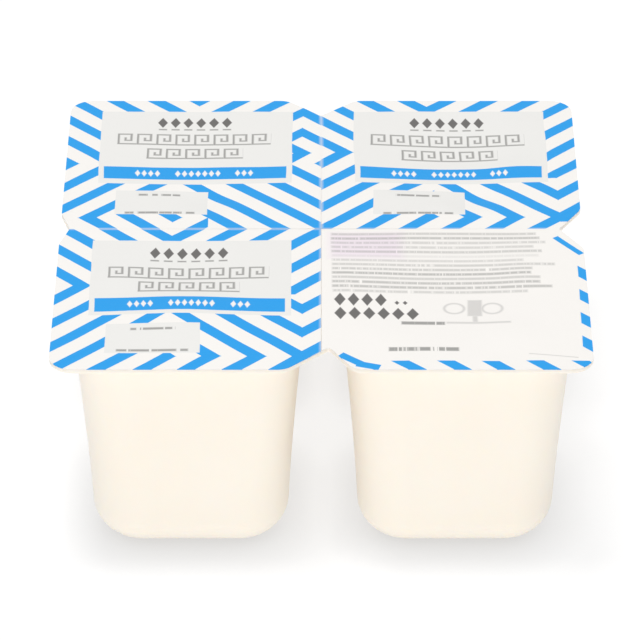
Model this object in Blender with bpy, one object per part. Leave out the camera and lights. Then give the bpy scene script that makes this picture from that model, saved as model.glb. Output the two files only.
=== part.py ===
"""Joined pack of four shut yogurt pots: one formed tray and four sealed lid films.

The origin is on the floor under the middle of the pack, +X runs to the right,
+Y to the back and +Z up. Lengths are in metres.
"""
import math

import bmesh
import bpy
from mathutils import Matrix, Vector

# The pack: four square pots side by side
PITCH = 0.062
HEIGHT = 0.0565
OUTER_CORNER_RADIUS = 0.0055
LID_THICKNESS = 0.0003
FLANGE_THICKNESS = 0.0007
LID_CLEARANCE = 0.0003
FLANGE_TOP = HEIGHT - LID_THICKNESS - LID_CLEARANCE
FLANGE_BOTTOM = FLANGE_TOP - FLANGE_THICKNESS

# Notches where a snap line meets the edge, front, right, back and left:
# reach before the snap line, place of the tip, reach after it, and depth
NOTCHES = (
    (0.0082, 0.0018, 0.0074, 0.0095),
    (0.0090, 0.0, 0.0090, 0.0055),
    (0.0085, 0.0, 0.0085, 0.0075),
    (0.0070, 0.0, 0.0070, 0.0022),
)
NOTCH_SHOULDER_RADIUS = 0.004
NOTCH_TIP_RADIUS = 0.0008

# Snap lines between the pots
SEAM_GAP = 0.0005
SCORE_WIDTH = 0.0012
SCORE_DEPTH = 0.0003
SCORE_OVERRUN = 0.006

# Each cup tapers to a rounded foot with a shallow recess under it.
# The pack is cut from its sheet a little off the middle of the cups.
CUPS_OFF_CENTRE = 0.0004
CUP_FOOT_HALF = 0.02265
CUP_MOUTH_HALF = 0.0264
CUP_TAPER_POWER = 1.4
CUP_CORNER_RADIUS = 0.0115
CUP_FOOT_ROUND = 0.009
CUP_RIM_ROUND = 0.002
CUP_RIM_TURN = math.radians(60)
CUP_SUNK_IN_FLANGE = 0.0003
FOOT_RING_WIDTH = 0.003
RECESS_DRAFT = 0.0008
RECESS_DEPTH = 0.0008

# Fineness of the curved stretches
ARC_STEPS = 7
FOOT_STEPS = 6
WALL_STEPS = 7
RIM_STEPS = 3
SMOOTH_ANGLE = math.radians(35)

LID_QUARTERS = {
    "lid_front_left": (-1, -1),
    "lid_front_right": (1, -1),
    "lid_back_left": (-1, 1),
    "lid_back_right": (1, 1),
}


def clear_scene():
    """Start from an empty scene."""
    for item in list(bpy.data.objects):
        bpy.data.objects.remove(item, do_unlink=True)


def make_material(name, colour, roughness):
    """A plain material with one colour and roughness."""
    material = bpy.data.materials.new(name)
    material.use_nodes = True
    shader = material.node_tree.nodes["Principled BSDF"]
    shader.inputs["Base Color"].default_value = (*colour, 1.0)
    shader.inputs["Roughness"].default_value = roughness
    shader.inputs["Metallic"].default_value = 0.0
    return material


def add_object(name, mesh_builder, material=None):
    """Turn a bmesh into a named object in the scene."""
    bmesh.ops.recalc_face_normals(mesh_builder, faces=mesh_builder.faces)
    mesh = bpy.data.meshes.new(name)
    mesh_builder.to_mesh(mesh)
    mesh_builder.free()
    item = bpy.data.objects.new(name, mesh)
    bpy.context.scene.collection.objects.link(item)
    if material:
        mesh.materials.append(material)
    return item


def shade_round(item):
    """Shade the curved stretches smooth and keep the real edges sharp."""
    item.data.shade_smooth()
    item.data.set_sharp_from_angle(angle=SMOOTH_ANGLE)


def as_guide(item):
    """Keep a shape out of the model: it only joins or cuts another."""
    item.hide_render = True
    item.display_type = "WIRE"


def arc_corner(before, corner, after, radius, steps):
    """Points of the arc that rounds one corner of an outline."""
    back = (before - corner).normalized()
    ahead = (after - corner).normalized()
    half_angle = back.angle(ahead) / 2
    reach = radius / math.tan(half_angle)
    centre = corner + (back + ahead).normalized() * radius / math.sin(half_angle)
    first = corner + back * reach - centre
    last = corner + ahead * reach - centre
    turn = math.atan2(first.x * last.y - first.y * last.x, first.dot(last))
    return [
        centre + Matrix.Rotation(turn * step / steps, 2) @ first
        for step in range(steps + 1)
    ]


def rounded_outline(corners, steps=ARC_STEPS):
    """Outline through (x, y, radius) corners, each rounded by its radius."""
    places = [Vector((x, y)) for x, y, _ in corners]
    outline = []
    for index, (_, _, radius) in enumerate(corners):
        following = places[(index + 1) % len(places)]
        if radius > 0:
            outline += arc_corner(places[index - 1], places[index], following, radius, steps)
        else:
            outline.append(places[index])
    return outline


def quarter_turned(corners, quarters):
    """Corners turned about the middle of the pack by quarter turns."""
    turned = []
    for x, y, radius in corners:
        for _ in range(quarters):
            x, y = -y, x
        turned.append((x, y, radius))
    return turned


def flange_outline():
    """Outer edge of the flange: a rounded square with a notch in each side."""
    corners = []
    for side, (before, tip, after, depth) in enumerate(NOTCHES):
        front = [
            (-PITCH, -PITCH, OUTER_CORNER_RADIUS),
            (-before, -PITCH, NOTCH_SHOULDER_RADIUS),
            (tip, -PITCH + depth, NOTCH_TIP_RADIUS),
            (after, -PITCH, NOTCH_SHOULDER_RADIUS),
        ]
        corners += quarter_turned(front, side)
    return rounded_outline(corners)


def add_wall(mesh_builder, lower, upper):
    """A band of faces between two rings with the same number of points."""
    count = len(lower)
    for index in range(count):
        following = (index + 1) % count
        mesh_builder.faces.new((lower[index], lower[following], upper[following], upper[index]))


def loft(mesh_builder, sections):
    """A closed solid through (outline, height) sections, one after the other."""
    rings = [
        [mesh_builder.verts.new((x, y, height)) for x, y in outline]
        for outline, height in sections
    ]
    for lower, upper in zip(rings, rings[1:]):
        add_wall(mesh_builder, lower, upper)
    mesh_builder.faces.new(rings[0])
    mesh_builder.faces.new(rings[-1])


def make_flange(material):
    """The flat sheet that joins the cups."""
    outline = flange_outline()
    mesh_builder = bmesh.new()
    loft(mesh_builder, [(outline, FLANGE_BOTTOM), (outline, FLANGE_TOP)])
    return add_object("pot_tray", mesh_builder, material)


def make_lid(name, quarter, material):
    """One lid film: its quarter of the flange's shape, short of the snap lines."""
    mesh_builder = bmesh.new()
    bottom = HEIGHT - LID_THICKNESS
    mesh_builder.faces.new(
        [mesh_builder.verts.new((x, y, bottom)) for x, y in flange_outline()]
    )
    for direction in (Vector((quarter[0], 0, 0)), Vector((0, quarter[1], 0))):
        bmesh.ops.bisect_plane(
            mesh_builder,
            geom=mesh_builder.verts[:] + mesh_builder.edges[:] + mesh_builder.faces[:],
            plane_co=direction * SEAM_GAP / 2,
            plane_no=direction,
            clear_inner=True,
        )
    raised = bmesh.ops.extrude_face_region(mesh_builder, geom=mesh_builder.faces[:])
    top = [part for part in raised["geom"] if isinstance(part, bmesh.types.BMVert)]
    bmesh.ops.translate(mesh_builder, verts=top, vec=(0.0, 0.0, LID_THICKNESS))
    lid = add_object(name, mesh_builder, material)
    shade_round(lid)
    return lid


def cup_outline(centre, half, radius):
    """Rounded square of a cup's cross-section."""
    x, y = centre
    corners = [
        (x - half, y - half, radius),
        (x + half, y - half, radius),
        (x + half, y + half, radius),
        (x - half, y + half, radius),
    ]
    return rounded_outline(corners)


def wall_half(height):
    """Half the cup's width at a height above the floor."""
    rise = (height / FLANGE_BOTTOM) ** CUP_TAPER_POWER
    return CUP_FOOT_HALF + (CUP_MOUTH_HALF - CUP_FOOT_HALF) * rise


def cup_profile():
    """Half width, corner radius and height of each section, from the recess up."""
    foot_half = CUP_FOOT_HALF - CUP_FOOT_ROUND
    foot_radius = CUP_CORNER_RADIUS - CUP_FOOT_ROUND
    ring_half = foot_half - FOOT_RING_WIDTH
    profile = [
        (ring_half - RECESS_DRAFT, foot_radius, RECESS_DEPTH),
        (ring_half, foot_radius, 0.0),
    ]
    for step in range(FOOT_STEPS + 1):
        angle = math.pi / 2 * step / FOOT_STEPS
        height = CUP_FOOT_ROUND * (1 - math.cos(angle))
        inset = CUP_FOOT_ROUND * (1 - math.sin(angle))
        profile.append((wall_half(height) - inset, CUP_CORNER_RADIUS - inset, height))
    rim_start = FLANGE_BOTTOM + CUP_SUNK_IN_FLANGE - CUP_RIM_ROUND * math.sin(CUP_RIM_TURN)
    for step in range(1, WALL_STEPS + 1):
        height = CUP_FOOT_ROUND + (rim_start - CUP_FOOT_ROUND) * step / WALL_STEPS
        profile.append((wall_half(height), CUP_CORNER_RADIUS, height))
    for step in range(1, RIM_STEPS + 1):
        angle = CUP_RIM_TURN * step / RIM_STEPS
        flare = CUP_RIM_ROUND * (1 - math.cos(angle))
        height = rim_start + CUP_RIM_ROUND * math.sin(angle)
        profile.append((wall_half(rim_start) + flare, CUP_CORNER_RADIUS + flare, height))
    half, radius, _ = profile[-1]
    profile.append((half, radius, (FLANGE_BOTTOM + FLANGE_TOP) / 2))
    return profile


def make_cups():
    """The four shut cups, solid because nothing inside them can be seen."""
    mesh_builder = bmesh.new()
    for right, back in LID_QUARTERS.values():
        centre = (right * PITCH / 2 + CUPS_OFF_CENTRE, back * PITCH / 2)
        sections = [
            (cup_outline(centre, half, radius), height)
            for half, radius, height in cup_profile()
        ]
        loft(mesh_builder, sections)
    return add_object("cup_forms", mesh_builder)


def make_score(name, quarters):
    """Wedge that cuts one snap line into the top of the flange, past both edges."""
    start = -PITCH - SCORE_OVERRUN
    section = (
        (0.0, FLANGE_TOP - SCORE_DEPTH),
        (SCORE_WIDTH, FLANGE_TOP + SCORE_DEPTH),
        (-SCORE_WIDTH, FLANGE_TOP + SCORE_DEPTH),
    )
    mesh_builder = bmesh.new()
    face = mesh_builder.faces.new([mesh_builder.verts.new((x, start, z)) for x, z in section])
    extruded = bmesh.ops.extrude_face_region(mesh_builder, geom=[face])
    far_verts = [part for part in extruded["geom"] if isinstance(part, bmesh.types.BMVert)]
    bmesh.ops.translate(mesh_builder, verts=far_verts, vec=(0.0, -2 * start, 0.0))
    turn = Matrix.Rotation(math.pi / 2 * quarters, 3, "Z")
    bmesh.ops.rotate(mesh_builder, verts=mesh_builder.verts, matrix=turn)
    return add_object(name, mesh_builder)


def add_boolean(item, guide, operation):
    """Join a guide shape to an object, or cut it away."""
    modifier = item.modifiers.new(guide.name, "BOOLEAN")
    modifier.operation = operation
    modifier.solver = "EXACT"
    modifier.object = guide
    as_guide(guide)


def make_tray(material):
    """Flange and cups, formed from one sheet of plastic."""
    tray = make_flange(material)
    add_boolean(tray, make_cups(), "UNION")
    add_boolean(tray, make_score("score_front_to_back", 0), "DIFFERENCE")
    add_boolean(tray, make_score("score_side_to_side", 1), "DIFFERENCE")
    shade_round(tray)
    return tray


def main():
    clear_scene()
    cup_plastic = make_material("cup_plastic", (0.97, 0.90, 0.80), 0.42)
    lid_film = make_material("lid_film", (0.90, 0.88, 0.85), 0.38)
    make_tray(cup_plastic)
    for name, quarter in LID_QUARTERS.items():
        make_lid(name, quarter, lid_film)


main()
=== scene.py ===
"""Pack of four joined yogurt pots: a formed cream tray under four printed lid films."""
import math

import bpy
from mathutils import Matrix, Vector


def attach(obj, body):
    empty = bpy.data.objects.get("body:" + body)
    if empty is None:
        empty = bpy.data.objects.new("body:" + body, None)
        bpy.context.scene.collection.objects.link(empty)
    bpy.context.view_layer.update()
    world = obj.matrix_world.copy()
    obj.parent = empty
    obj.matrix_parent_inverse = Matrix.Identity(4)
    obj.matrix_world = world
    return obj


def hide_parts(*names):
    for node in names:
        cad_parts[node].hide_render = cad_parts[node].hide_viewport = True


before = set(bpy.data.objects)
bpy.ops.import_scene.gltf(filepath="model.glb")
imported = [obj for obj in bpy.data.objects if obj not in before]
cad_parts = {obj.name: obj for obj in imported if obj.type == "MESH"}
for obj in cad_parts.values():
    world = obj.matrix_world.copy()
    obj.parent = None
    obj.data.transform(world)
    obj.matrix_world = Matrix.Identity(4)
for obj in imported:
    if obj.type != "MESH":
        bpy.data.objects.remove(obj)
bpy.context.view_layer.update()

# The pack, in metres
PITCH = 0.062
HEIGHT = 0.0565
OUTER_CORNER_RADIUS = 0.0055

# Notches at the front, right, back and left snap lines:
# reach before the snap line, place of the tip, reach after it, and depth
NOTCHES = (
    (0.0082, 0.0018, 0.0074, 0.0095),
    (0.0090, 0.0, 0.0090, 0.0055),
    (0.0085, 0.0, 0.0085, 0.0075),
    (0.0070, 0.0, 0.0070, 0.0022),
)
NOTCH_OVERRUN = 0.001
NOTCH_SHOULDER_RADIUS = 0.004
NOTCH_TIP_RADIUS = 0.0008
OUTLINE_ROUND_STEPS = 6

# Films
FILM_THICKNESS = 0.00014
FILM_GAP = 0.00012
FILM_CELL = 0.00125
FILM_SEAL_INSET = 0.0004
FILM_SHADE_ANGLE = 40

# Flange under the films
FLANGE_TOP = HEIGHT - FILM_THICKNESS
FLANGE_THICKNESS = 0.00105
FLANGE_BOTTOM = FLANGE_TOP - FLANGE_THICKNESS
FLANGE_EDGE_ROUND = 0.00018
SCORE_HALF_WIDTH = 0.0006
SCORE_DEPTH = 0.00015
SCORE_OVERRUN = 0.004

# Cups
CUPS_OFF_CENTRE = 0.0004
CUP_FOOT_HALF = 0.02265
CUP_MOUTH_HALF = 0.0264
CUP_TAPER_POWER = 1.4
CUP_CORNER_RADIUS = 0.0115
CUP_CORNER_STEPS = 12
CUP_FOOT_ROUND = 0.009
CUP_FOOT_STEPS = 9
CUP_FIRST_RING = CUP_FOOT_ROUND + 0.0012
CUP_WALL_STEPS = 9
CUP_RIM_ROUND = 0.0034
CUP_RIM_TURN = math.radians(60)
CUP_RIM_STEPS = 4
CUP_RIM_OVERLAP = 0.0003
TRAY_SHADE_ANGLE = 35
FOOT_RING_SCALE = 0.78
RECESS_DEPTH = 0.0008
RECESS_SCALE = 0.95
RECESS_EDGE_ROUND = 0.0003
WELL_INSET = 0.0012
WELL_DEPTH = 0.0022
WELL_CORNER_STEPS = 8

QUARTERS = {
    "front_left": (-1, -1),
    "front_right": (1, -1),
    "back_left": (-1, 1),
    "back_right": (1, 1),
}

# Places closer than this count as one, and an edge that leans less than this as upright
NEAR = 0.00002
UPRIGHT_LEAN = 0.002


# Working with pieces

def deselect_all():
    """Leave edit mode and select nothing."""
    if bpy.context.object and bpy.context.object.mode != "OBJECT":
        bpy.ops.object.mode_set(mode="OBJECT")
    bpy.ops.object.select_all(action="DESELECT")


def make_active(piece):
    """Select one piece alone."""
    deselect_all()
    piece.select_set(True)
    bpy.context.view_layer.objects.active = piece


def add_block(name, low, high):
    """Box between two corners."""
    deselect_all()
    low, high = Vector(low), Vector(high)
    bpy.ops.mesh.primitive_cube_add(size=1, location=(low + high) / 2, scale=high - low)
    bpy.ops.object.transform_apply(location=True, rotation=True, scale=True)
    block = bpy.context.object
    block.name = block.data.name = name
    return block


def edit(piece, kind, test, upright=False):
    """Open a piece with those of its vertices, edges or polygons selected whose corners all pass.

    Where only upright edges are asked for, an edge that runs along a ring is left out.
    """
    make_active(piece)
    kinds = ("vertices", "edges", "polygons")
    bpy.context.tool_settings.mesh_select_mode = [kind == each for each in kinds]
    mesh = piece.data
    places = [vertex.co.copy() for vertex in mesh.vertices]
    for each in kinds:
        for part in getattr(mesh, each):
            part.select = False
    for part in getattr(mesh, kind):
        corners = [part.index] if kind == "vertices" else part.vertices
        part.select = all(test(places[corner]) for corner in corners)
        if upright and part.select:
            first, second = (places[corner].xy for corner in corners)
            part.select = (first - second).length < UPRIGHT_LEAN
    bpy.ops.object.mode_set(mode="EDIT")


def close(piece):
    """Go back from editing."""
    bpy.ops.object.mode_set(mode="OBJECT")
    return piece


def bevel(offset, steps):
    """Round the selected edges of the open piece."""
    bpy.ops.mesh.bevel(offset=offset, offset_type="OFFSET", segments=steps, affect="EDGES")


def cut_across(place, normal, **options):
    """Cut the open piece along a plane."""
    bpy.ops.mesh.select_all(action="SELECT")
    bpy.ops.mesh.bisect(plane_co=place, plane_no=normal, **options)


def apply_modifier(piece, kind, **settings):
    """Add a modifier to a piece and apply it."""
    make_active(piece)
    modifier = piece.modifiers.new(kind.lower(), kind)
    for name, value in settings.items():
        setattr(modifier, name, value)
    bpy.ops.object.modifier_apply(modifier=modifier.name)


def boolean(piece, other, operation):
    """Join another shape to a piece, or cut it away, and drop the other shape."""
    apply_modifier(piece, "BOOLEAN", operation=operation, solver="EXACT", object=other)
    bpy.data.objects.remove(other, do_unlink=True)


def copy_of(piece, name):
    """Copy of a piece with a mesh of its own."""
    make_active(piece)
    bpy.ops.object.duplicate()
    copy = bpy.context.object
    copy.name = copy.data.name = name
    return copy


def shade_round(piece, angle):
    """Shade smoothly except at edges sharper than an angle in degrees."""
    make_active(piece)
    bpy.ops.object.shade_smooth_by_angle(angle=math.radians(angle))


def make_wedge(block, ridge, quarters):
    """Pinch the open block's selected corners into a ridge, and turn it by quarter turns."""
    bpy.ops.transform.resize(value=(0, 1, 1), center_override=ridge)
    bpy.ops.mesh.select_all(action="SELECT")
    bpy.ops.mesh.remove_doubles(threshold=NEAR)
    close(block)
    block.rotation_euler.z = math.pi / 2 * quarters
    make_active(block)
    bpy.ops.object.transform_apply(location=False, rotation=True, scale=False)
    return block


# Outline of the flange and the films

def quarter_turned(place, quarters):
    """A place turned about the middle of the pack by quarter turns."""
    x, y = place
    for _ in range(quarters):
        x, y = -y, x
    return x, y


def make_notch(quarters):
    """Wedge that cuts one notch."""
    before, tip, after, depth = NOTCHES[quarters]
    spread = (depth + NOTCH_OVERRUN) / depth
    low = (tip - (before + tip) * spread, -PITCH - NOTCH_OVERRUN, 0.0)
    high = (tip + (after - tip) * spread, -PITCH + depth, 2 * HEIGHT)
    notch = add_block("notch", low, high)
    edit(notch, "vertices", lambda co: abs(co.y - high[1]) < NEAR)
    return make_wedge(notch, (tip, high[1], HEIGHT), quarters)


def round_upright(slab, place, radius, turn):
    """Round the upright edge of the slab at a place, where its outline turns by an angle."""
    x, y = place
    edit(slab, "edges", lambda co: abs(co.x - x) < NEAR and abs(co.y - y) < NEAR)
    bevel(radius * math.tan(turn / 2), OUTLINE_ROUND_STEPS)
    close(slab)


def make_slab():
    """Flat square slab with round corners and a notch in the middle of each side."""
    slab = add_block("slab", (-PITCH, -PITCH, FLANGE_BOTTOM), (PITCH, PITCH, FLANGE_TOP))
    for quarters, (before, tip, after, depth) in enumerate(NOTCHES):
        boolean(slab, make_notch(quarters), "DIFFERENCE")
        turn_in = math.atan2(depth, before + tip)
        turn_out = math.atan2(depth, after - tip)
        for place, radius, turn in (
            ((-before, -PITCH), NOTCH_SHOULDER_RADIUS, turn_in),
            ((tip, -PITCH + depth), NOTCH_TIP_RADIUS, turn_in + turn_out),
            ((after, -PITCH), NOTCH_SHOULDER_RADIUS, turn_out),
            ((PITCH, -PITCH), OUTER_CORNER_RADIUS, math.pi / 2),
        ):
            round_upright(slab, quarter_turned(place, quarters), radius, turn)
    return slab


# Tray

def wall_half(height):
    """Half the cup's width at a height above the floor."""
    rise = (height / FLANGE_BOTTOM) ** CUP_TAPER_POWER
    return CUP_FOOT_HALF + (CUP_MOUTH_HALF - CUP_FOOT_HALF) * rise


def cup_rings():
    """Height and half width of each ring above the foot round."""
    rim_start = FLANGE_BOTTOM + CUP_RIM_OVERLAP - CUP_RIM_ROUND * math.sin(CUP_RIM_TURN)
    rings = []
    for step in range(CUP_WALL_STEPS + 1):
        height = CUP_FIRST_RING + (rim_start - CUP_FIRST_RING) * step / CUP_WALL_STEPS
        rings.append((height, wall_half(height)))
    for step in range(1, CUP_RIM_STEPS + 1):
        angle = CUP_RIM_TURN * step / CUP_RIM_STEPS
        flare = CUP_RIM_ROUND * (1 - math.cos(angle))
        rings.append((rim_start + CUP_RIM_ROUND * math.sin(angle), wall_half(rim_start) + flare))
    return rings


def make_cup():
    """One shut cup about the middle of the floor, shaped from a block cut into rings."""
    half = CUP_FOOT_HALF
    top = (FLANGE_BOTTOM + FLANGE_TOP) / 2
    cup = add_block("cup", (-half, -half, 0.0), (half, half, top))
    rings = cup_rings()
    edit(cup, "vertices", lambda co: True)
    for height, _ in rings:
        cut_across((0, 0, height), (0, 0, 1))
    close(cup)
    for height, wide in (*rings, (top, rings[-1][1])):
        edit(cup, "vertices", lambda co: abs(co.z - height) < NEAR)
        stretch = (wide / half, wide / half, 1)
        bpy.ops.transform.resize(value=stretch, center_override=(0, 0, height))
        close(cup)
    edit(cup, "edges", lambda co: abs(abs(co.x) - abs(co.y)) < NEAR, upright=True)
    bevel(CUP_CORNER_RADIUS, CUP_CORNER_STEPS)
    close(cup)
    edit(cup, "edges", lambda co: co.z < NEAR)
    bevel(CUP_FOOT_ROUND, CUP_FOOT_STEPS)
    close(cup)
    edit(cup, "polygons", lambda co: co.z < NEAR)
    for scale, rise in ((FOOT_RING_SCALE, 0.0), (RECESS_SCALE, RECESS_DEPTH)):
        bpy.ops.mesh.extrude_region_move(TRANSFORM_OT_translate={"value": (0, 0, rise)})
        bpy.ops.transform.resize(value=(scale, scale, 1), center_override=(0, 0, 0))
    close(cup)
    ring_half = (CUP_FOOT_HALF - CUP_FOOT_ROUND) * FOOT_RING_SCALE + NEAR
    edit(cup, "edges", lambda co: co.z < NEAR and max(abs(co.x), abs(co.y)) < ring_half)
    bevel(RECESS_EDGE_ROUND, 2)
    close(cup)
    return cup


def make_well(right, back):
    """Room inside a cup's mouth for the film to sag into."""
    half = CUP_MOUTH_HALF - WELL_INSET
    x, y = right * PITCH / 2 + CUPS_OFF_CENTRE, back * PITCH / 2
    well = add_block(
        "well",
        (x - half, y - half, FLANGE_TOP - WELL_DEPTH),
        (x + half, y + half, FLANGE_TOP + WELL_DEPTH),
    )
    edit(well, "edges", lambda co: True, upright=True)
    bevel(CUP_CORNER_RADIUS - WELL_INSET, WELL_CORNER_STEPS)
    return close(well)


def make_score(quarters):
    """Wedge that cuts one snap line into the top of the flange."""
    reach = PITCH + SCORE_OVERRUN
    score = add_block(
        "score",
        (-SCORE_HALF_WIDTH, -reach, FLANGE_TOP - SCORE_DEPTH),
        (SCORE_HALF_WIDTH, reach, FLANGE_TOP + SCORE_DEPTH),
    )
    edit(score, "vertices", lambda co: co.z < FLANGE_TOP)
    return make_wedge(score, (0, 0, FLANGE_TOP - SCORE_DEPTH), quarters)


def make_tray(slab):
    """Flange with its snap lines, cut from the slab, and the four cups under it."""
    tray = copy_of(slab, "formed_tray")
    edit(tray, "edges", lambda co: abs(co.z - FLANGE_BOTTOM) < NEAR)
    bevel(FLANGE_EDGE_ROUND, 2)
    close(tray)
    cup = make_cup()
    for right, back in QUARTERS.values():
        made = copy_of(cup, "cup_copy")
        made.location = (right * PITCH / 2 + CUPS_OFF_CENTRE, back * PITCH / 2, 0)
        make_active(made)
        bpy.ops.object.transform_apply(location=True, rotation=False, scale=False)
        boolean(tray, made, "UNION")
        boolean(tray, make_well(right, back), "DIFFERENCE")
    bpy.data.objects.remove(cup, do_unlink=True)
    for quarters in (0, 1):
        boolean(tray, make_score(quarters), "DIFFERENCE")
    shade_round(tray, TRAY_SHADE_ANGLE)
    return tray


# Films

# Pulls that dish or dome a film, from its back left corner in millimetres:
# across, to the front, height and radius
FILM_PULLS = {
    "back_left": ((31, 31, -0.6, 30), (34, 47, -0.55, 9), (20, 20, 0.12, 9)),
    "back_right": ((33, 28, -1.1, 29), (47, 33, 0.4, 9), (17, 44, 0.2, 9), (36, 47, -0.7, 9)),
    "front_left": ((31, 18, -0.6, 16), (31, 40, 0.75, 20), (14, 22, 0.2, 8)),
    "front_right": ((30, 28, -0.7, 29), (48, 20, 0.25, 9), (44, 46, 0.3, 10), (14, 46, 0.2, 9)),
}


def film_corner(quarter):
    """Back left corner of a film."""
    right, back = QUARTERS[quarter]
    return Vector((-PITCH if right < 0 else 0.0, PITCH if back > 0 else 0.0, 0.0))


def make_film(slab, quarter):
    """One lid film, cut from the slab and dished over its cup."""
    right, back = QUARTERS[quarter]
    film = copy_of(slab, "film_" + quarter)
    edit(film, "polygons", lambda co: co.z > FLANGE_TOP - NEAR)
    bpy.ops.mesh.select_all(action="INVERT")
    bpy.ops.mesh.delete(type="FACE")
    cut_across((right * FILM_GAP / 2, 0, 0), (right, 0, 0), clear_inner=True)
    cut_across((0, back * FILM_GAP / 2, 0), (0, back, 0), clear_inner=True)
    for step in range(1, int(PITCH / FILM_CELL) + 1):
        cut_across((right * step * FILM_CELL, 0, 0), (1, 0, 0))
        cut_across((0, back * step * FILM_CELL, 0), (0, 1, 0))
    close(film)
    centre = Vector((right * PITCH / 2 + CUPS_OFF_CENTRE, back * PITCH / 2))
    half = CUP_MOUTH_HALF - WELL_INSET - FILM_SEAL_INSET
    radius = CUP_CORNER_RADIUS - WELL_INSET

    def on_seal(co):
        """Whether the film is sealed to the flange at a place."""
        reach_x = max(abs(co.x - centre.x) - half + radius, 0)
        reach_y = max(abs(co.y - centre.y) - half + radius, 0)
        return math.hypot(reach_x, reach_y) > radius

    corner = film_corner(quarter)
    edit(film, "vertices", on_seal)
    bpy.ops.mesh.hide(unselected=False)
    close(film)
    for across, front, rise, reach in FILM_PULLS[quarter]:
        spot = corner + Vector((across, -front, 0)) / 1000
        free = [vertex.co.copy() for vertex in film.data.vertices if not vertex.hide]
        nearest = min(free, key=lambda co: (co.xy - spot.xy).length)
        edit(film, "vertices", lambda co: (co - nearest).length < NEAR)
        bpy.ops.transform.translate(
            value=(0, 0, rise / 1000),
            use_proportional_edit=True,
            proportional_edit_falloff="SMOOTH",
            proportional_size=reach / 1000,
        )
        close(film)
    make_active(film)
    bpy.ops.object.mode_set(mode="EDIT")
    bpy.ops.mesh.reveal(select=False)
    close(film)
    film.location.z = FILM_THICKNESS
    make_active(film)
    bpy.ops.object.transform_apply(location=True, rotation=False, scale=False)
    apply_modifier(film, "SOLIDIFY", thickness=FILM_THICKNESS, offset=-1)
    shade_round(film, FILM_SHADE_ANGLE)
    return film


# Materials

def linear(red, green, blue):
    """Colour from 0 to 255 values, as light amounts."""
    def one(value):
        value /= 255
        return value / 12.92 if value <= 0.04045 else ((value + 0.055) / 1.055) ** 2.4
    return one(red), one(green), one(blue), 1.0


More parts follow.
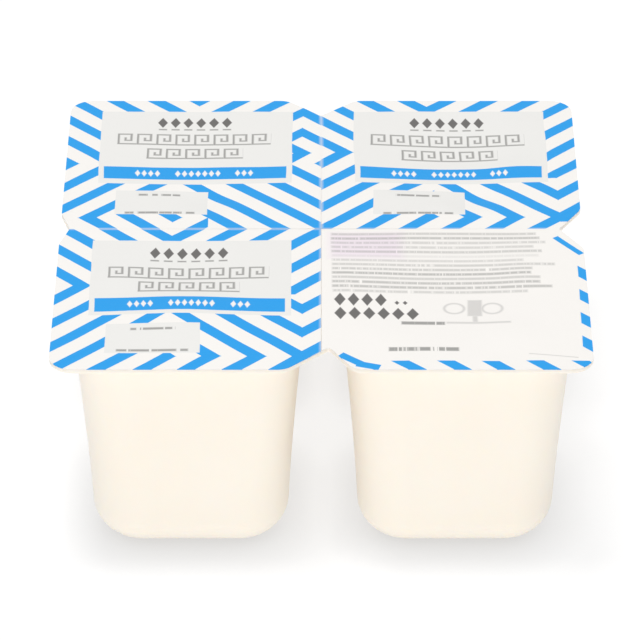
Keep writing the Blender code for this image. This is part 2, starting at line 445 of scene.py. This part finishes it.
class Drawing:
    """Draws in a material's nodes. A shape is a distance in millimetres, below zero inside it."""

    def __init__(self, name):
        self.material = bpy.data.materials.new(name)
        self.material.use_nodes = True
        self.tree = self.material.node_tree
        self.shader = self.tree.nodes["Principled BSDF"]

    def node(self, kind, *values, **settings):
        """Add a node with its settings, its inputs being numbers or other nodes' outputs."""
        node = self.tree.nodes.new(kind)
        for name, value in settings.items():
            setattr(node, name, value)
        for socket, value in zip(node.inputs, values):
            if isinstance(value, bpy.types.NodeSocket):
                self.tree.links.new(value, socket)
            elif value is not None:
                socket.default_value = value
        return node

    def maths(self, operation, *values, use_clamp=False):
        """Work out a number from others."""
        return self.node(
            "ShaderNodeMath", *values, operation=operation, use_clamp=use_clamp
        ).outputs[0]

    def vector(self, operation, *values):
        """Work out a place from others."""
        return self.node("ShaderNodeVectorMath", *values, operation=operation).outputs[0]

    def noise(self, place, scale, detail):
        """Soft uneven spots."""
        node = self.node("ShaderNodeTexNoise")
        self.tree.links.new(place, node.inputs["Vector"])
        node.inputs["Scale"].default_value = scale
        node.inputs["Detail"].default_value = detail
        return node

    def relief(self, height, strength, distance):
        """Fine bumps from a height."""
        node = self.node("ShaderNodeBump")
        node.inputs["Strength"].default_value = strength
        node.inputs["Distance"].default_value = distance
        self.tree.links.new(height, node.inputs["Height"])
        return node.outputs[0]

    def box(self, low_u, low_v, high_u, high_v, place=None):
        """Upright box between two corners."""
        centre = ((low_u + high_u) / 2, (low_v + high_v) / 2, 0)
        half = ((high_u - low_u) / 2, (high_v - low_v) / 2, 0)
        away = self.vector("ABSOLUTE", self.vector("SUBTRACT", place or self.place, centre))
        parts = self.node("ShaderNodeSeparateXYZ", self.vector("SUBTRACT", away, half))
        return self.maths("MAXIMUM", parts.outputs[0], parts.outputs[1])

    def ring(self, centre, radius, stroke):
        """Round outline."""
        away = self.vector("SUBTRACT", self.place, (*centre, 0))
        reach = self.node("ShaderNodeVectorMath", away, operation="LENGTH").outputs["Value"]
        off_line = self.maths("ABSOLUTE", self.maths("SUBTRACT", reach, radius))
        return self.maths("SUBTRACT", off_line, stroke / 2)

    def stroke(self, start, end, width):
        """Straight line of one width between two places."""
        start, end = Vector((*start, 0)), Vector((*end, 0))
        along = (end - start).normalized()
        away = self.vector("SUBTRACT", self.place, (start + end) / 2)
        reaches = []
        for direction, half in (
            (along, (end - start).length / 2),
            (Vector((-along.y, along.x, 0)), width / 2),
        ):
            dot = self.node("ShaderNodeVectorMath", away, direction, operation="DOT_PRODUCT")
            off = self.maths("ABSOLUTE", dot.outputs["Value"])
            reaches.append(self.maths("SUBTRACT", off, half))
        return self.both(*reaches)

    def stripes(self, along, centre, pitch, width):
        """Even stripes across a direction."""
        away = self.maths("PINGPONG", self.maths("SUBTRACT", along, centre), pitch / 2)
        return self.maths("SUBTRACT", away, width / 2)

    def both(self, *shapes):
        """Where all the shapes lie over each other."""
        made = shapes[0]
        for shape in shapes[1:]:
            made = self.maths("MAXIMUM", made, shape)
        return made

    def either(self, *shapes):
        """Where any of the shapes lies."""
        made = shapes[0]
        for shape in shapes[1:]:
            made = self.maths("MINIMUM", made, shape)
        return made

    def outside(self, shape):
        """Everything but a shape."""
        return self.maths("MULTIPLY", shape, -1.0)

    def grown(self, shape, margin):
        """A shape with a margin round it."""
        return self.maths("SUBTRACT", shape, margin)

    def amount(self, shape, softness=0.12):
        """1 inside a shape and 0 outside it."""
        return self.maths("MULTIPLY_ADD", shape, -1 / softness, 0.5, use_clamp=True)

    def tint(self, under, over, amount):
        """Lay a colour over another."""
        node = self.tree.nodes.new("ShaderNodeMix")
        node.data_type = "RGBA"
        for name, value in (("Factor_Float", amount), ("A_Color", under), ("B_Color", over)):
            socket = next(each for each in node.inputs if each.identifier == name)
            if isinstance(value, bpy.types.NodeSocket):
                self.tree.links.new(value, socket)
            else:
                socket.default_value = value
        return next(each for each in node.outputs if each.identifier == "Result_Color")

    def set(self, **values):
        """Set or link the shader's own sockets."""
        for name, value in values.items():
            socket = self.shader.inputs[name.replace("_", " ")]
            if isinstance(value, bpy.types.NodeSocket):
                self.tree.links.new(value, socket)
            else:
                socket.default_value = value


CREAM = linear(250, 242, 230)
DEEP_CREAM = linear(248, 238, 224)


def cup_plastic():
    """Cream-white polystyrene, formed thin enough to let a little light through."""
    drawing = Drawing("cup_plastic_cream")
    place = drawing.node("ShaderNodeTexCoord").outputs["Object"]
    cloud = drawing.noise(place, 60, 3)
    grain = drawing.noise(place, 2500, 2)
    colour = drawing.tint(CREAM, DEEP_CREAM, cloud.outputs["Fac"])
    relief = drawing.relief(grain.outputs["Fac"], 0.15, 0.0001)
    roughness = drawing.maths("MULTIPLY_ADD", cloud.outputs["Fac"], 0.12, 0.36)
    drawing.set(Base_Color=colour, Roughness=roughness, Normal=relief)
    drawing.set(
        Subsurface_Weight=0.25, Subsurface_Radius=(0.004, 0.003, 0.002), Subsurface_Scale=1.0
    )
    return drawing.material


# Print on the films, placed in millimetres from each film's back left corner
PAPER = linear(239, 236, 232)
LABEL_WHITE = linear(229, 228, 225)
STRIPE_BLUE = linear(30, 155, 229)
DARK_INK = linear(106, 104, 102)
GREY_INK = linear(158, 157, 154)
# Pale grey for the sign's print, also used for the painted shade of a film wrinkle
PALE_INK_AND_SHADE = linear(178, 176, 174)
ROSE_TINT = linear(232, 216, 230)

# Reach in metres and strength of the fade beside the snap lines, and drift of the whole print
SNAP_REACH = 1 / 1400.0
SNAP_FADE = 0.5
PRINT_DRIFT = 1.1

STRIPE_PITCH = 10.25
STRIPE_WIDTH = 4.4
STRIPE_OVERLAP = 0.1

# Phase of the stripes that fall to the right and of those that rise, on each striped film
STRIPE_PHASES = {
    "back_left": (-0.7, 1.4),
    "back_right": (-0.5, 0.6),
    "front_left": (-0.9, 1.2),
}


def fold_lines(phases, steps):
    """Places across and to the front where stripes of the two directions meet in a point."""
    fall, rise = phases
    reach = steps * STRIPE_PITCH / 2
    return (rise - fall) / 2 + reach, (rise + fall) / 2 + reach


def falling_boxes(quarter):
    """Boxes where a film's stripes fall to the right. Elsewhere they rise."""
    phases = STRIPE_PHASES[quarter]
    near_across, near_front = fold_lines(phases, 5)
    far_across, far_front = fold_lines(phases, 11)
    if quarter == "back_left":
        across, front = fold_lines(phases, 6)
        return (
            (-5, -5, 8.2, front),
            (-5, -5, across, 6),
            (far_across, -5, 67, near_front),
            (55, 21, far_across, near_front),
            (27, front, 67, far_front),
            (34.8, far_front - 1, 67, 67),
            (-5, far_front, near_across, 67),
            (13, 54, near_across, 67),
        )
    column_back = 29.5 if quarter == "front_left" else 38
    return (
        (-5, -5, 8.2, near_front),
        (-5, -5, near_across, 6),
        (27, column_back, far_across, far_front),
        (far_across, far_front, 67, 67),
    )


# Label of each striped film: panel, band, small box, and the backs of the mark row,
# the two friezes and the two fine lines
LABEL_PLAN = {
    "back_left": (
        (8, 5.4, 54.9, 40.2), (9.3, 32.2, 53.5, 37.9), (12.5, 43.6, 34.6, 55.2),
        8.4, 16.4, 23.3, (45.2, 54.0),
    ),
    "back_right": (
        (8, 5.4, 54.9, 39.9), (9.3, 32.2, 53.5, 37.7), (12.5, 43.6, 34.5, 55.2),
        8.4, 16.6, 23.6, (45.6, 54.2),
    ),
    "front_left": (
        (8, 5.4, 54.9, 38.9), (9.3, 31.3, 53.5, 37.3), (12.3, 42.9, 34.3, 55.2),
        8.4, 17.2, 23.9, (44.8, 53.6),
    ),
}


# Rows on every label: left and right end, height and count of ornaments
BEADS = (16.8, 45.6, 3.0, 18)
BEAD_SPACES = ((23.2, 26.4), (37.6, 40.8))
BEAD_SPACE_MARGIN = 0.2
MARKS = (21.5, 40.5, 4.8, 6)
UPPER_FRIEZE = (12.2, 49.7, 5.2, 8)
LOWER_FRIEZE = (19.5, 42.9, 4.8, 5)
FRIEZE_STROKE = 0.55

# Dashes under the marks: first one, pitch, width, and start and end behind the marks' back
UNDER_MARKS = (23.1, 3.17, 2.0, 5.4, 6.0)

# Left and right ends of the fine lines, and their height
FINE_LINES = ((18, 28.5), (15, 31.6))
FINE_LINE_TALL = 0.9

# Stripes left bare beside the left notch, and filled and cut beside the right one
BARE_BOX = (-5, 58.5, 5, 67)
TAIL_STROKE = ((57.9, 56.4), (62.4, 52.3), 3.4)
TAIL_CUT = (57.2, 58.7, 67, 67)


def film_base(name, quarter):
    """Start of a film's material, with its place in millimetres from the back left corner."""
    drawing = Drawing(name)
    place = drawing.node("ShaderNodeTexCoord").outputs["Object"]
    drawing.object_place = place
    from_corner = drawing.vector("SUBTRACT", place, film_corner(quarter))
    flat = drawing.vector("MULTIPLY", from_corner, (1000, -1000, 0))
    wave = drawing.noise(place, 45, 1)
    drift = drawing.vector("SUBTRACT", wave.outputs["Color"], (0.5, 0.5, 0.5))
    drift = drawing.vector("MULTIPLY", drift, (PRINT_DRIFT, PRINT_DRIFT, 0))
    drawing.place = drawing.vector("ADD", flat, drift)
    parts = drawing.node("ShaderNodeSeparateXYZ", drawing.place)
    drawing.u, drawing.v = parts.outputs[0], parts.outputs[1]
    drawing.rising_run = drawing.maths("ADD", drawing.u, drawing.v)
    drawing.falling_run = drawing.maths("SUBTRACT", drawing.v, drawing.u)
    return drawing


def finish_film(drawing, colour):
    """Fade the print along the snap lines, and give the film its sheen and fine crinkle."""
    across = drawing.node(
        "ShaderNodeSeparateXYZ", drawing.vector("ABSOLUTE", drawing.object_place)
    )
    from_snap = drawing.maths("MINIMUM", across.outputs[0], across.outputs[1])
    near_snap = drawing.maths("MULTIPLY_ADD", from_snap, -1 / SNAP_REACH, 1.0, use_clamp=True)
    colour = drawing.tint(colour, PAPER, drawing.maths("MULTIPLY", near_snap, SNAP_FADE))
    crinkle = drawing.noise(drawing.object_place, 260, 3)
    relief = drawing.relief(crinkle.outputs["Fac"], 0.25, 0.0003)
    roughness = drawing.maths("MULTIPLY_ADD", crinkle.outputs["Fac"], 0.15, 0.36)
    drawing.set(Base_Color=colour, Roughness=roughness, Normal=relief, Specular_IOR_Level=0.35)
    return drawing.material


def lozenge_row(drawing, low, high, count, fullness):
    """Row of upright lozenges that fills a box."""
    pitch = (high[0] - low[0]) / count
    middle = (low[1] + high[1]) / 2
    tall = (high[1] - low[1]) / 2
    across = drawing.maths(
        "PINGPONG", drawing.maths("SUBTRACT", drawing.u, low[0] + pitch / 2), pitch / 2
    )
    along = drawing.maths("ABSOLUTE", drawing.maths("SUBTRACT", drawing.v, middle))
    wide = pitch / 2 * fullness
    slope = drawing.maths("MULTIPLY_ADD", along, wide / tall, -wide)
    return drawing.both(drawing.maths("ADD", across, slope), drawing.box(*low, *high))


def key_frieze(drawing, low, high, count):
    """Row of square hooks joined along their feet, in thin strokes."""
    stroke = FRIEZE_STROKE
    pitch = (high[0] - low[0]) / count
    tall = high[1] - low[1]
    across = drawing.maths("WRAP", drawing.maths("SUBTRACT", drawing.u, low[0]), pitch, 0.0)
    along = drawing.maths("SUBTRACT", drawing.v, low[1])
    cell = drawing.node("ShaderNodeCombineXYZ", across, along).outputs[0]
    right = pitch * 0.78
    middle = pitch * 0.42
    bars = (
        (0, 0, stroke, tall),
        (0, 0, right, stroke),
        (right - stroke, 0, right, tall * 0.68),
        (middle - stroke / 2, tall * 0.68 - stroke, right, tall * 0.68),
        (middle - stroke / 2, tall * 0.36, middle + stroke / 2, tall * 0.68),
        (0, tall - stroke, pitch * 1.1, tall),
    )
    hooks = drawing.either(*(drawing.box(*bar, place=cell) for bar in bars))
    return drawing.both(hooks, drawing.box(*low, *high))


def fine_line(drawing, low, high):
    """Short line of small dashes of uneven length."""
    spot = drawing.node("ShaderNodeCombineXYZ", drawing.u, float(low[1])).outputs[0]
    gaps = drawing.noise(spot, 0.9, 2)
    dashes = drawing.maths("MULTIPLY_ADD", gaps.outputs["Fac"], -6.0, 2.5)
    return drawing.both(dashes, drawing.box(*low, *high))


def striped_film(quarter):
    """Film with blue and white chevrons about a pale label with plain ornaments."""
    drawing = film_base("lid_print_" + quarter, quarter)
    fall_phase, rise_phase = STRIPE_PHASES[quarter]
    panel, band, small_box, mark_back, frieze_back, low_frieze_back, fine_backs = LABEL_PLAN[quarter]
    falling = drawing.stripes(drawing.falling_run, fall_phase, STRIPE_PITCH, STRIPE_WIDTH)
    rising = drawing.stripes(drawing.rising_run, rise_phase, STRIPE_PITCH, STRIPE_WIDTH)
    where_falling = drawing.either(*(drawing.box(*box) for box in falling_boxes(quarter)))
    stripes = drawing.either(
        drawing.both(falling, drawing.grown(where_falling, STRIPE_OVERLAP)),
        drawing.both(rising, drawing.grown(drawing.outside(where_falling), STRIPE_OVERLAP)),
    )
    if quarter == "back_left":
        stripes = drawing.both(stripes, drawing.outside(drawing.box(*BARE_BOX)))
    elif quarter == "back_right":
        stripes = drawing.either(stripes, drawing.stroke(*TAIL_STROKE))
        stripes = drawing.both(stripes, drawing.outside(drawing.box(*TAIL_CUT)))
    label = drawing.either(drawing.box(*panel), drawing.box(*small_box))
    colour = drawing.tint(PAPER, STRIPE_BLUE, drawing.amount(stripes))
    colour = drawing.tint(colour, LABEL_WHITE, drawing.amount(label))
    colour = drawing.tint(colour, STRIPE_BLUE, drawing.amount(drawing.box(*band)))

    left, right, tall, count = BEADS
    band_back = (band[1] + band[3] - tall) / 2
    beads = lozenge_row(drawing, (left, band_back), (right, band_back + tall), count, 0.8)
    spaces = drawing.either(
        *(drawing.box(start, band_back, end, band_back + tall) for start, end in BEAD_SPACES)
    )
    beads = drawing.both(beads, drawing.outside(drawing.grown(spaces, BEAD_SPACE_MARGIN)))
    colour = drawing.tint(colour, PAPER, drawing.amount(beads, 0.3))

    left, right, tall, count = MARKS
    marks = lozenge_row(drawing, (left, mark_back), (right, mark_back + tall), count, 0.78)
    colour = drawing.tint(colour, DARK_INK, drawing.amount(marks, 0.2))
    first, pitch, wide, start, end = UNDER_MARKS
    dashes = drawing.stripes(drawing.u, first, pitch, wide)
    row = drawing.box(left, mark_back + start, right, mark_back + end)
    greys = [drawing.both(dashes, row)]
    for back, frieze in ((frieze_back, UPPER_FRIEZE), (low_frieze_back, LOWER_FRIEZE)):
        left, right, tall, count = frieze
        greys.append(key_frieze(drawing, (left, back), (right, back + tall), count))
    colour = drawing.tint(colour, GREY_INK, drawing.amount(drawing.either(*greys), 0.3))
    lines = drawing.either(
        *(
            fine_line(drawing, (left, back), (right, back + FINE_LINE_TALL))
            for back, (left, right) in zip(fine_backs, FINE_LINES)
        )
    )
    colour = drawing.tint(colour, GREY_INK, drawing.amount(lines, 0.4))
    return finish_film(drawing, colour)


# Small print: first row, pitch and height of the rows, and the box that holds them
SMALL_PRINT_ROWS = (2.4, 1.95, 1.05)
SMALL_PRINT_BOX = (2.4, 1.6, 57.5, 28.6)


def small_print(drawing):
    """Amount of grey from rows of fine ticks, which run out unevenly at the right."""
    first, pitch, tall = SMALL_PRINT_ROWS
    rows = drawing.stripes(drawing.v, first, pitch, tall)
    from_first = drawing.maths("SUBTRACT", drawing.v, first)
    row = drawing.maths("ROUND", drawing.maths("DIVIDE", from_first, pitch))
    row_apart = drawing.maths("MULTIPLY", row, 37.0)
    spot = drawing.node("ShaderNodeCombineXYZ", drawing.u, row_apart).outputs[0]
    words = drawing.maths("MULTIPLY_ADD", drawing.noise(spot, 0.6, 2).outputs["Fac"], -6.0, 2.0)
    ticks = drawing.maths("MULTIPLY_ADD", drawing.noise(spot, 2.6, 1).outputs["Fac"], -3.0, 1.05)
    row_spot = drawing.node("ShaderNodeCombineXYZ", 0.0, row).outputs[0]
    lengths = drawing.noise(row_spot, 0.9, 1).outputs["Fac"]
    row_end = drawing.maths("MULTIPLY_ADD", lengths, 28.0, 37.0)
    past_end = drawing.maths("SUBTRACT", drawing.u, row_end)
    shape = drawing.both(rows, words, ticks, past_end, drawing.box(*SMALL_PRINT_BOX))
    strengths = drawing.noise(row_spot, 1.7, 0).outputs["Fac"]
    strength = drawing.maths("MULTIPLY_ADD", strengths, 1.2, -0.1)
    return drawing.maths("MULTIPLY", drawing.amount(shape, 0.6), strength, use_clamp=True)


# Plain film: phase, extra width and box of the stripes at its right and front edges
EDGE_STRIPES = (
    (0.3, 0.4, (59.9, 15.5, 67, 56.5)),
    (-0.7, -0.3, (13.5, 58.3, 67, 67)),
)
BLUE_STROKES = (
    ((55.6, 4.0), (61.3, 11.6), 1.6),
    ((4.3, 55.6), (9.3, 59.7), 2.2),
    ((8.2, 59.5), (13.4, 61.2), 2.4),
)
ROSE_BOX = (2, 2, 19, 13)
# Painted shade of a wrinkle in the film, drawn as a pale grey stroke: start, end and width
WRINKLE_SHADE_STROKE = ((47.5, 55.4), (58.6, 57.0), 0.3)

# Rows of bold lozenges: low and high corner, count and fullness
BOLD_ROWS = (
    ((2.6, 28.8), (15.4, 34.4), 4, 0.85),
    ((2.6, 35.0), (22.8, 40.4), 6, 0.85),
    ((16.6, 31.8), (20.4, 33.6), 2, 0.6),
)
FINE_ROWS = (
    ((18.5, 41.2), (28.6, 42.6)),
    ((15.5, 52.6), (31.5, 54.2)),
)

# Pale sign: centres, radius and stroke of its rings, and its bars
SIGN_RINGS = ((30.8, 35.0), (39.6, 35.0))
SIGN_RING_SIZE = (2.3, 0.6)
SIGN_BARS = (
    (33.9, 31.2, 37.2, 38.4),
    (29.0, 41.2, 43.6, 42.0),
    (35.0, 38.4, 36.1, 41.2),
)


def plain_film(quarter):
    """Pale film with rows of fine dashes, bold lozenges, a sign, a striped edge, and a stroke of
    painted shade along a wrinkle.
    """
    drawing = film_base("lid_print_" + quarter, quarter)
    rose = drawing.maths("MULTIPLY", drawing.amount(drawing.box(*ROSE_BOX), 3.0), 0.6)
    colour = drawing.tint(PAPER, ROSE_TINT, rose)
    # Painted shade: a pale grey stroke darkens the film where it wrinkles near the front right
    # corner
    wrinkle_shade = drawing.amount(drawing.stroke(*WRINKLE_SHADE_STROKE), 0.3)
    colour = drawing.tint(colour, PALE_INK_AND_SHADE, drawing.maths("MULTIPLY", wrinkle_shade, 0.6))
    colour = drawing.tint(colour, GREY_INK, small_print(drawing))
    bold = drawing.either(*(lozenge_row(drawing, *row) for row in BOLD_ROWS))
    colour = drawing.tint(colour, DARK_INK, drawing.amount(bold, 0.25))
    fine = drawing.either(*(fine_line(drawing, *row) for row in FINE_ROWS))
    colour = drawing.tint(colour, GREY_INK, drawing.amount(fine, 0.4))
    sign = drawing.either(
        *(drawing.ring(centre, *SIGN_RING_SIZE) for centre in SIGN_RINGS),
        *(drawing.box(*bar) for bar in SIGN_BARS),
    )
    pale = drawing.maths("MULTIPLY", drawing.amount(sign, 0.5), 0.55)
    colour = drawing.tint(colour, PALE_INK_AND_SHADE, pale)
    blue = [drawing.stroke(*stroke) for stroke in BLUE_STROKES]
    for phase, extra, box in EDGE_STRIPES:
        width = STRIPE_WIDTH + extra
        stripes = drawing.stripes(drawing.falling_run, phase, STRIPE_PITCH, width)
        blue.append(drawing.both(stripes, drawing.box(*box)))
    colour = drawing.tint(colour, STRIPE_BLUE, drawing.amount(drawing.either(*blue)))
    return finish_film(drawing, colour)


# Making the pack

slab = make_slab()
tray = make_tray(slab)
tray.data.materials.clear()
tray.data.materials.append(cup_plastic())
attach(tray, "root")
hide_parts("pot_tray")

for quarter in QUARTERS:
    film = make_film(slab, quarter)
    make_print = striped_film if quarter in STRIPE_PHASES else plain_film
    film.data.materials.clear()
    film.data.materials.append(make_print(quarter))
    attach(film, "root")
    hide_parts("lid_" + quarter)

bpy.data.objects.remove(slab, do_unlink=True)


# Floor, light and camera

# Floor: grey of its own, and glow where the pack is near and what is added far from it. The dimmer
# glow near the pack is a painted shadow, and the last number is how far it reaches
FLOOR_SIZE = 6
FLOOR_GREY = (0.25, 0.25, 0.25, 1)
GLOW_NEAR = 0.495
GLOW_ADDED = 0.28
PAINTED_SHADOW_REACH = 0.012

WHITE = (1, 1, 1, 1)
WORLD_STRENGTH = 0.5

# Lights: place, size and power
LIGHT_AIM = (0, 0, 0.03)
LIGHTS = {
    "key": ((-0.17, -0.04, 1.6), 0.4, 14.0),
    "fill": ((-0.1, -1.25, 0.26), 0.5, 4.2),
    "back_fill": ((0.25, 1.25, 0.3), 0.5, 2.2),
}

CAMERA_PLACE = (-0.0003, -0.97838, 0.64163)
CAMERA_TILT = math.radians(58.03)
CAMERA_LENS = 269.8
CAMERA_SENSOR = 36


def make_floor():
    """Wide white glowing floor with a painted shadow: its glow is dimmed close to the pack."""
    deselect_all()
    bpy.ops.mesh.primitive_plane_add(size=FLOOR_SIZE)
    floor = bpy.context.object
    floor.name = floor.data.name = "floor"
    drawing = Drawing("floor_white")
    # Painted shadow: the glow is dimmed where the pack hides the floor, within a short reach
    painted_shadow = drawing.node("ShaderNodeAmbientOcclusion", samples=16)
    painted_shadow.inputs["Distance"].default_value = PAINTED_SHADOW_REACH
    glow = drawing.maths("MULTIPLY_ADD", painted_shadow.outputs["AO"], GLOW_ADDED, GLOW_NEAR)
    drawing.set(Base_Color=FLOOR_GREY, Roughness=0.9, Specular_IOR_Level=0.0)
    drawing.set(Emission_Color=WHITE, Emission_Strength=glow)
    floor.data.materials.append(drawing.material)


def add_area_light(name, place, size, power):
    """Large soft light turned to the pack."""
    light = bpy.data.lights.new(name, "AREA")
    light.shape = "SQUARE"
    light.size = size
    light.energy = power
    holder = bpy.data.objects.new(name, light)
    bpy.context.scene.collection.objects.link(holder)
    holder.location = place
    to_aim = Vector(LIGHT_AIM) - Vector(place)
    holder.rotation_euler = to_aim.to_track_quat("-Z", "Y").to_euler()
    return holder


def light_the_stage():
    """Pale surroundings and soft lights, the one behind kept off the films' gloss."""
    world = bpy.data.worlds.new("studio")
    bpy.context.scene.world = world
    world.use_nodes = True
    background = world.node_tree.nodes["Background"]
    background.inputs["Color"].default_value = WHITE
    background.inputs["Strength"].default_value = WORLD_STRENGTH
    for name, (place, size, power) in LIGHTS.items():
        holder = add_area_light(name, place, size, power)
        holder.visible_glossy = name != "back_fill"
    bpy.context.scene.view_settings.view_transform = "Standard"


def add_camera():
    """Camera at the pack's viewing angle, with a long lens."""
    camera = bpy.data.cameras.new("camera")
    camera.sensor_width = CAMERA_SENSOR
    camera.lens = CAMERA_LENS
    camera.clip_start = 0.01
    holder = bpy.data.objects.new("camera", camera)
    bpy.context.scene.collection.objects.link(holder)
    holder.location = CAMERA_PLACE
    holder.rotation_euler = (CAMERA_TILT, 0, 0)
    bpy.context.scene.camera = holder


make_floor()
light_the_stage()
add_camera()
